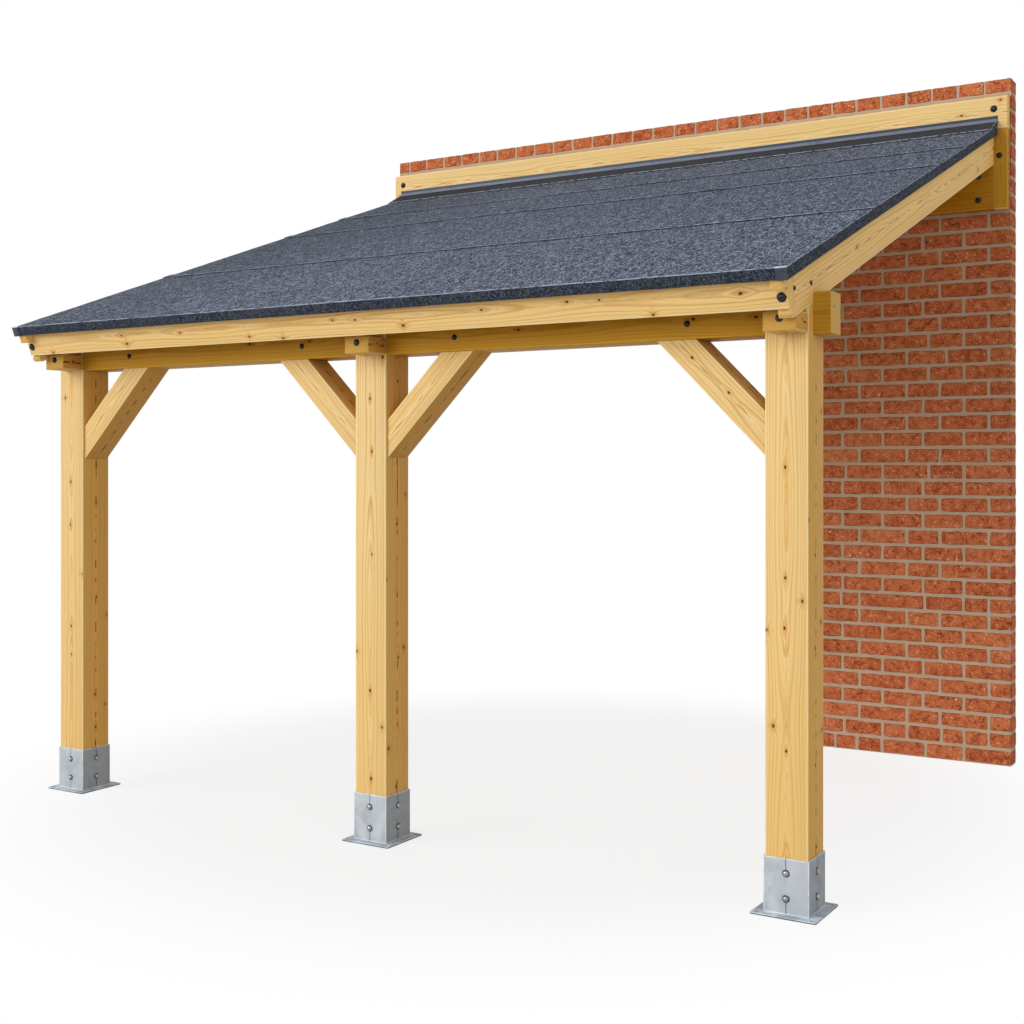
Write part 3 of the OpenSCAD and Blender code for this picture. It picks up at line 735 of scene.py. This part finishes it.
def felt_piece(node, seed, material=FELT, wave=0.0009, grid=0.055):
    """Felt with softened folds and the slight waviness of a laid sheet"""
    bm = cad_shape(node)
    soften(bm, FELT_EDGE)
    (x0, x1), (u0, u1), _ = slope_box(node)
    for axis, low, high in ((X, x0, x1), (UP_SLOPE, u0, u1)):
        n = max(2, int((high - low) / grid))
        cut_cells(bm, Vector(), axis, [low + (high - low) * i / n for i in range(1, n)])
    bm.normal_update()
    for v in bm.verts:
        p = v.co * 5.0 + Vector((seed, seed, 0))
        q = v.co * 21.0 + Vector((0, seed, seed))
        v.co -= v.normal * (wave * (1 + noise.noise(p)) + wave * 0.5 * (1 + noise.noise(q)))
    edge = bm.loops.layers.float_vector.new("edge")
    for f in bm.faces:
        turned = 1.0 - abs(f.normal.dot(OFF_SLOPE))
        for loop in f.loops:
            p = loop.vert.co
            loop[edge] = Vector((x1 - abs(p.x), p.dot(UP_SLOPE) - u0, turned))
    return piece("laid_" + node, bm, material, [node])


roof_boards()
for i in range(1, 5):
    felt_piece(f"felt_sheet_{i}", i * 7.3)
felt_piece("felt_fillet", 41.0, FILLET_FELT, 0.0005)
for node, material in (("flashing", FLASHING), ("corner_cap_left", CAP), ("corner_cap_right", CAP)):
    bm = cad_shape(node)
    soften(bm, SHEET_EDGE)
    piece("sheet_" + node, bm, material, [node])


# ---- Brickwork ----

# BED and JOINT are the gaps between bricks, RECESS is how far the mortar is set back, and COURSE_BED is
# the bed that the CAD's wall is sized with
BED, JOINT, RECESS = 0.0082, 0.0060, 0.0045
COURSES, COURSE_BED = 41, 0.012
BRICK_ROUND, COPING_BRICK, COPING_JOINT = 0.009, 0.131, 0.0024
# joints of the visible strip, in metres from the wall's right end, for each kind of course, as read
ROWS = {
    "a": (0.233, 0.438, 0.647, 0.860),
    "b": (0.111, 0.353, 0.521, 0.770, 1.007),
    "c": (0.233, 0.410, 0.647, 0.842),
    "d": (0.111, 0.320, 0.521, 0.770, 1.007),
    "e": (0.111, 0.236, 0.430, 0.770, 0.868),
    "f": (0.112, 0.232, 0.345, 0.520, 0.647, 0.850),
    "g": (0.233, 0.425, 0.650, 0.782, 0.900),
}
# kinds of the courses below the top one, from the ground up
ORDER = "gfbababab" + "e" + "abababa" + "c" + "babab" + "cdc" + "babab" + "ababababa"


def brick_grid(half, n):
    """Grid lines of a rounded block along one axis: n steps between its rounded edges"""
    inner, turn = half - BRICK_ROUND, half - BRICK_ROUND * 0.35
    return [-half, -turn] + [-inner + 2 * inner * i / n for i in range(n + 1)] + [turn, half]


def add_brick(bm, low, high, rnd, layers):
    """Rounded, slightly uneven brick between two corners"""
    local, tint = layers
    half = (high - low) / 2
    mid = (high + low) / 2
    radius = BRICK_ROUND
    grids = [brick_grid(half.x, 9 if half.x > 0.07 else 5), brick_grid(half.y, 2), brick_grid(half.z, 3)]
    counts = [len(g) for g in grids]
    shift = Vector((rnd.uniform(-40, 40), rnd.uniform(-40, 40), rnd.uniform(-40, 40)))
    firing, dust = min(1, max(0, rnd.gauss(0.5, 0.15))), max(0.0, rnd.gauss(0.5, 0.3))
    verts = {}

    def vert(i, j, k):
        if (i, j, k) not in verts:
            p = Vector((grids[0][i], grids[1][j], grids[2][k]))
            core = Vector([max(-(h - radius), min(h - radius, c)) for h, c in zip(half, p)])
            off = p - core
            if off.length > 1e-9:
                p = core + off.normalized() * radius
            n = noise.noise((p + shift) * 34.0) + 0.6 * noise.noise((p + shift) * 90.0)
            worn = 0.0007 * (1.3 + n) + (0.0007 * (1.0 + n) if off.length > 1e-9 else 0)
            p -= Vector([c / h for c, h in zip(p, half)]) * worn
            v = bm.verts.new(mid + p)
            v[local] = p + shift
            v[tint] = Vector((firing, dust, sorted(abs(c) / radius for c in off)[1]))
            verts[i, j, k] = v
        return verts[i, j, k]

    a, b, c = (n - 1 for n in counts)
    for i in range(a):
        for j in range(b):
            bm.faces.new((vert(i, j, 0), vert(i, j + 1, 0), vert(i + 1, j + 1, 0), vert(i + 1, j, 0)))
            bm.faces.new((vert(i, j, c), vert(i + 1, j, c), vert(i + 1, j + 1, c), vert(i, j + 1, c)))
        for k in range(c):
            bm.faces.new((vert(i, 0, k), vert(i + 1, 0, k), vert(i + 1, 0, k + 1), vert(i, 0, k + 1)))
            bm.faces.new((vert(i, b, k), vert(i, b, k + 1), vert(i + 1, b, k + 1), vert(i + 1, b, k)))
    for j in range(b):
        for k in range(c):
            bm.faces.new((vert(0, j, k), vert(0, j, k + 1), vert(0, j + 1, k + 1), vert(0, j + 1, k)))
            bm.faces.new((vert(a, j, k), vert(a, j + 1, k), vert(a, j + 1, k + 1), vert(a, j, k + 1)))


def brickwork(node, seed):
    """Courses of a wall node between its ends, and the mortar between them"""
    low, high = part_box(node)
    right = CAD_HIGH.x
    pitch = (CAD_HIGH.z + COURSE_BED) / COURSES
    rnd = random.Random(seed)
    bm = bmesh.new()
    layers = [bm.verts.layers.float_vector.new(n) for n in ("local", "tint")]
    first, last = round(low.z / pitch), round((high.z + COURSE_BED) / pitch)
    length = high.x - low.x
    for k in range(first, last):
        ends = [0.0]
        coping = k == COURSES - 1
        gap = (COPING_JOINT if coping else JOINT) / 2
        if coping:
            ends += [COPING_BRICK * i for i in range(1, 30)]
        else:
            ends += ROWS[ORDER[k]]
            while ends[-1] < length - 0.33:
                ends.append(ends[-1] + rnd.choice((0.205, 0.213, 0.209, 0.24, 0.17)))
        ends = [e for e in ends if e < length - 0.07] + [length]
        base = k * pitch
        for i in range(len(ends) - 1):
            x1 = right - ends[i] - (gap if i else 0)
            x0 = right - ends[i + 1] + (gap if i + 2 < len(ends) else 0)
            jig = [rnd.uniform(0, most) for most in (0.0014, 0.0006, 0.0014, 0.0014)]
            add_brick(bm, Vector((x0 + jig[0], low.y + jig[1], base + jig[2])),
                      Vector((x1 - jig[3], high.y, min(base + pitch - BED, high.z))), rnd, layers)
    piece("bricks_" + node, bm, BRICK, [node])
    core = bmesh.new()
    bmesh.ops.create_cube(core, size=1)
    top = high.z - (0.004 if high.z > CAD_HIGH.z - 0.01 else 0)
    size = Vector((high.x - low.x - 2 * RECESS, high.y - low.y - 2 * RECESS, top - low.z))
    corner = Vector((low.x + RECESS, low.y + RECESS, low.z))
    for v in core.verts:
        v.co = corner + Vector([(c + 0.5) * d for c, d in zip(v.co, size)])
    for axis, a, b in ((X, low.x, high.x), (Z, low.z, top)):
        n = int((b - a) / 0.03)
        cut_cells(core, Vector(), axis, [a + (b - a) * i / n for i in range(1, n)])
    for v in core.verts:
        if low.z + 0.001 < v.co.z < top - 0.001:
            v.co.y += 0.0012 * noise.noise(v.co * 30.0)
    piece("mortar_" + node, core, MORTAR)


brickwork("wall_pier", 5)
brickwork("wall_head", 6)


# ---- Shoes ----

# from a post's face to the outside of its shoe
SHELL_OUT = 0.0043
for name in POSTS:
    bm = cad_shape("shoe_" + name)
    soften(bm, SHOE_EDGE, 40)
    low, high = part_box("shoe_" + name)
    centre = Vector(((low.x + high.x) / 2, (low.y + high.y) / 2, 0))
    spot = bm.verts.layers.float_vector.new("spot")
    for v in bm.verts:
        v[spot] = v.co - centre
    facing = bm.loops.layers.float_vector.new("facing")
    for f in bm.faces:
        for loop in f.loops:
            loop[facing] = f.normal
    piece("steel_shoe_" + name, bm, ZINC, ["shoe_" + name])


# ---- Bolts and nails ----

def dome(bm, centre, normal, radius, height, flange=0.0, dimple=0.0, sides=20, rim=0):
    """Domed bolt head; flange: its washer's thickness; dimple: radius of the hole in its crown;
    rim: the washer's material index, which the shoe bolts give a dark painted shade"""
    normal = normal.normalized()
    a = normal.orthogonal().normalized()
    b = normal.cross(a)
    rings = []
    if flange:
        rings += [(radius * 1.22, 0.0), (radius * 1.22, flange * 0.7)]
        rings += [(radius * 1.16, flange), (radius, flange)]
    else:
        rings += [(radius, 0.0)]
    washer = len(rings) - 1
    for i in range(1, 7):
        t = math.radians(90 * i / 7)
        rings.append((radius * math.cos(t * 0.92), flange + height * math.sin(t * 0.98)))
    if dimple:
        rings += [(dimple, flange + height * 0.99), (dimple * 0.85, flange + height * 0.72)]
    angles = [2 * math.pi * i / sides for i in range(sides)]
    spokes = [a * math.cos(t) + b * math.sin(t) for t in angles]
    loops = [[bm.verts.new(centre + normal * h + spoke * r) for spoke in spokes] for r, h in rings]
    for k, (p, q) in enumerate(zip(loops, loops[1:])):
        for i in range(sides):
            j = (i + 1) % sides
            bm.faces.new((p[i], p[j], q[j], q[i])).material_index = rim if k < washer else 0
    bm.faces.new(loops[-1])


def crack(bm, centre, normal, axis, length, width, rnd):
    """Thin drying crack that lies on a face and tapers at both ends"""
    side = normal.cross(axis).normalized()
    rows, wander = [], 0.0
    for i in range(13):
        t = i / 12
        wander += rnd.uniform(-0.12, 0.12) * width
        half = width / 2 * math.sin(math.pi * min(1, 0.02 + t * 0.98)) ** 0.6 * rnd.uniform(0.75, 1.1)
        at = centre + axis * (t - 0.5) * length + side * wander + normal * 0.0003
        rows.append((bm.verts.new(at - side * half), bm.verts.new(at + side * half)))
    for (a, b), (c, d) in zip(rows, rows[1:]):
        bm.faces.new((a, b, d, c))


# x of the beam's bolts, heights of a shoe's, and an outer rafter's: distance behind the post's front, height
BEAM_BOLTS = (-1.350, -0.352, 0.400, 1.366)
SHOE_BOLTS = (0.057, 0.141)
RAFTER_BOLTS = ((0.027, 2.086), (-0.128, 2.052))
END_BOARDS = ((-1, "end_board_left"), (1, "end_board_right"))


def coach_bolts():
    """Black bolts of the fascia, corbels, beam, frame on the wall and outer rafters"""
    bm = bmesh.new()

    def black(centre, normal, radius, height, flange=0.002, dimple=0.004):
        dome(bm, centre, normal, radius, height, flange, dimple)

    fx, fu, fw = slope_box("fascia")
    for x in (fx[0] + 0.024, fx[1] - 0.024):
        at = on_slope(x, fu[0], fw[0] + (fw[1] - fw[0]) * 0.36)
        black(at, -UP_SLOPE, 0.0135, 0.008)
    for name in POSTS:
        low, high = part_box("corbel_" + name)
        middle = (low.x + high.x) / 2
        black(Vector((middle, low.y, low.z + 0.042)), -Y, 0.0115, 0.008, 0.002, 0.005)
    low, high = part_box("front_beam")
    for x in BEAM_BOLTS:
        black(Vector((x, low.y, low.z + 0.052)), -Y, 0.0095, 0.006, 0.0015, 0.003)
    low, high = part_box("top_rail")
    for x in (low.x + 0.06, high.x - 0.065):
        black(Vector((x, low.y, low.z + (high.z - low.z) * 0.62)), -Y, 0.014, 0.009)
    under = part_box("top_rail")[0].z
    for side, node in END_BOARDS:
        low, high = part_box(node)
        middle = (low.x + high.x) / 2
        black(Vector((middle - side * 0.006, low.y, under - (under - low.z) * 0.34)), -Y, 0.012, 0.008)
        inner = low.x if side > 0 else high.x
        for ledger in ("ledger_upper", "ledger_lower"):
            foot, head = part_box(ledger)
            black(Vector((inner - side * 0.075, foot.y, (foot.z + head.z) / 2)), -Y, 0.012, 0.008)
    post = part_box("post_right")[0].y
    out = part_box("rafter_right")[1].x
    for side in (-1, 1):
        for behind, z in RAFTER_BOLTS:
            black(Vector((side * out, post + behind, z)), X * side, 0.0085, 0.005, 0.0, 0.0)
    piece("coach_bolts", bm, BLACK)


def nails():
    """Small heads on the corbels', beam's and end boards' sides"""
    bm = bmesh.new()
    for name in POSTS:
        low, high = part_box("corbel_" + name)
        dome(bm, Vector((high.x, (low.y + high.y) / 2, low.z + 0.04)), X, 0.0035, 0.0015, sides=10)
    low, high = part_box("front_beam")
    for side, x in ((-1, low.x), (1, high.x)):
        dome(bm, Vector((x, (low.y + high.y) / 2 + 0.01, low.z + 0.09)), X * side, 0.003, 0.0015, sides=10)
    for side, node in END_BOARDS:
        low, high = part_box(node)
        x = low.x if side < 0 else high.x
        for i in range(5):
            z = low.z + 0.05 + i * (high.z - low.z - 0.1) / 4
            dome(bm, Vector((x, (low.y + high.y) / 2, z)), X * side, 0.003, 0.0015, sides=10)
    piece("nails", bm, BLACK)


def shoe_bolts():
    """Two bolts on each side of each shoe"""
    bm = bmesh.new()
    for name in POSTS:
        low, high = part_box("shoe_" + name)
        mid = (low + high) / 2
        reach = (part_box("post_" + name)[1].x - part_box("post_" + name)[0].x) / 2 + SHELL_OUT
        for normal in (X, -X, Y, -Y):
            for z in SHOE_BOLTS:
                dome(bm, Vector((mid.x, mid.y, z)) + normal * reach, normal, 0.0105, 0.007, 0.002, rim=1)
    # the shoe bolts' washers take the dark material as painted shade around the heads
    piece("shoe_bolts", bm, [BOLT_STEEL, SEAM_AND_RIM_SHADE])


coach_bolts()
nails()
shoe_bolts()


def cracks():
    """Cracks on the posts' right sides, below a brace's foot and above a shoe, and the shoes' seams"""
    bm = bmesh.new()
    rnd = random.Random(91)
    under_braces = (("post_centre", "brace_centre_right", 0.2), ("post_left", "brace_left", 0.09))
    for post, brace, length in under_braces:
        low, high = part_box(post)
        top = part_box(brace)[0].z
        crack(bm, Vector((high.x, (low.y + high.y) / 2 + 0.002, top - length / 2)), X, Z, length, 0.0036, rnd)
    for name in POSTS:
        low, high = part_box("post_" + name)
        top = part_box("shoe_" + name)[1].z
        crack(bm, Vector((high.x, (low.y + high.y) / 2 - 0.003, top + 0.02)), X, Z, 0.06, 0.004, rnd)
    piece("drying_cracks", bm, CRACK)
    bm = bmesh.new()
    for name in POSTS:
        low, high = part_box("post_" + name)
        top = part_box("shoe_" + name)[1].z
        for side, x in ((-1, low.x - SHELL_OUT), (1, high.x + SHELL_OUT)):
            for z0, z1 in ((0.007, 0.048), (0.15, top)):
                crack(bm, Vector((x, (low.y + high.y) / 2, (z0 + z1) / 2)), X * side, Z, z1 - z0, 0.0042, rnd)
    piece("shoe_seams", bm, SEAM_AND_RIM_SHADE)


cracks()


# ---- Stage, lights and camera ----

def seen(s):
    """1 for camera, glossy and transmission rays"""
    path = s.add("ShaderNodeLightPath")
    names = ("Is Camera Ray", "Is Glossy Ray", "Is Transmission Ray")
    a, b, c = (Val(s, path.outputs[n]) for n in names)
    return a.do("MAXIMUM", b).do("MAXIMUM", c)


def floor():
    """White floor that takes the shadows near the part and is plain white further out"""
    bm = bmesh.new()
    bmesh.ops.create_grid(bm, x_segments=8, y_segments=8, size=45)
    mesh = bpy.data.meshes.new("floor")
    bm.to_mesh(mesh)
    bm.free()
    obj = bpy.data.objects.new("floor", mesh)
    bpy.context.scene.collection.objects.link(obj)
    s = Shader("Studio_floor")
    s.finish((0.80, 0.80, 0.80, 1), 0.55, Specular_IOR_Level=0.2)
    glow = s.add("ShaderNodeEmission")
    glow.inputs["Color"].default_value = (1, 1, 1, 1)
    glow.inputs["Strength"].default_value = 1.0
    far = s.step(s.vector("LENGTH", s.place()), 1.5, 2.9, 0.79, 1.0)
    mix = s.add("ShaderNodeMixShader")
    s.put(mix.inputs[0], seen(s) * far)
    s.tree.links.new(s.bsdf.outputs[0], mix.inputs[1])
    s.tree.links.new(glow.outputs[0], mix.inputs[2])
    s.tree.links.new(mix.outputs[0], s.out.inputs[0])
    mesh.materials.append(s.mat)
    obj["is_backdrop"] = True


def world():
    """White for camera, glossy and transmission rays, and a dimmer white light for all others"""
    sky = bpy.data.worlds.new("Studio")
    bpy.context.scene.world = sky
    sky.use_nodes = True
    tree = sky.node_tree
    tree.nodes.clear()
    path = tree.nodes.new("ShaderNodeLightPath")
    out = tree.nodes.new("ShaderNodeOutputWorld")
    soft, white = tree.nodes.new("ShaderNodeBackground"), tree.nodes.new("ShaderNodeBackground")
    soft.inputs[0].default_value, soft.inputs[1].default_value = (1, 1, 1, 1), 0.32
    white.inputs[0].default_value, white.inputs[1].default_value = (1, 1, 1, 1), 1.0
    a, b = tree.nodes.new("ShaderNodeMath"), tree.nodes.new("ShaderNodeMath")
    a.operation = b.operation = "MAXIMUM"
    tree.links.new(path.outputs["Is Camera Ray"], a.inputs[0])
    tree.links.new(path.outputs["Is Glossy Ray"], a.inputs[1])
    tree.links.new(a.outputs[0], b.inputs[0])
    tree.links.new(path.outputs["Is Transmission Ray"], b.inputs[1])
    mix = tree.nodes.new("ShaderNodeMixShader")
    tree.links.new(b.outputs[0], mix.inputs[0])
    tree.links.new(soft.outputs[0], mix.inputs[1])
    tree.links.new(white.outputs[0], mix.inputs[2])
    tree.links.new(mix.outputs[0], out.inputs[0])


def softbox(name, turn, height, spread, power):
    """Wide soft light from far away: degrees to the left of the front, above the floor, and across"""
    data = bpy.data.lights.new(name, "SUN")
    data.angle, data.energy = math.radians(spread), power
    obj = bpy.data.objects.new(name, data)
    a, b = math.radians(turn), math.radians(height)
    beam = Vector((math.sin(a) * math.cos(b), math.cos(a) * math.cos(b), -math.sin(b)))
    obj.rotation_euler = beam.to_track_quat("-Z", "Y").to_euler()
    obj.location = (0, 0, 6)
    bpy.context.scene.collection.objects.link(obj)


floor()
world()
softbox("key", 36, 14, 46, 2.52)
softbox("fill", -58, 30, 70, 0.86)

# fitted to the corners seen in the photo
camera = bpy.data.cameras.new("camera")
camera.sensor_width, camera.lens = 36, 48.24
camera.shift_x, camera.shift_y = -0.0273, -0.0449
view = bpy.data.objects.new("camera", camera)
view.location = (3.349, -5.583, 1.484)
view.rotation_euler = (math.radians(90), 0, math.radians(30.863))
bpy.context.scene.collection.objects.link(view)
bpy.context.scene.camera = view
bpy.context.scene.view_settings.view_transform = "Standard"

low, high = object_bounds()
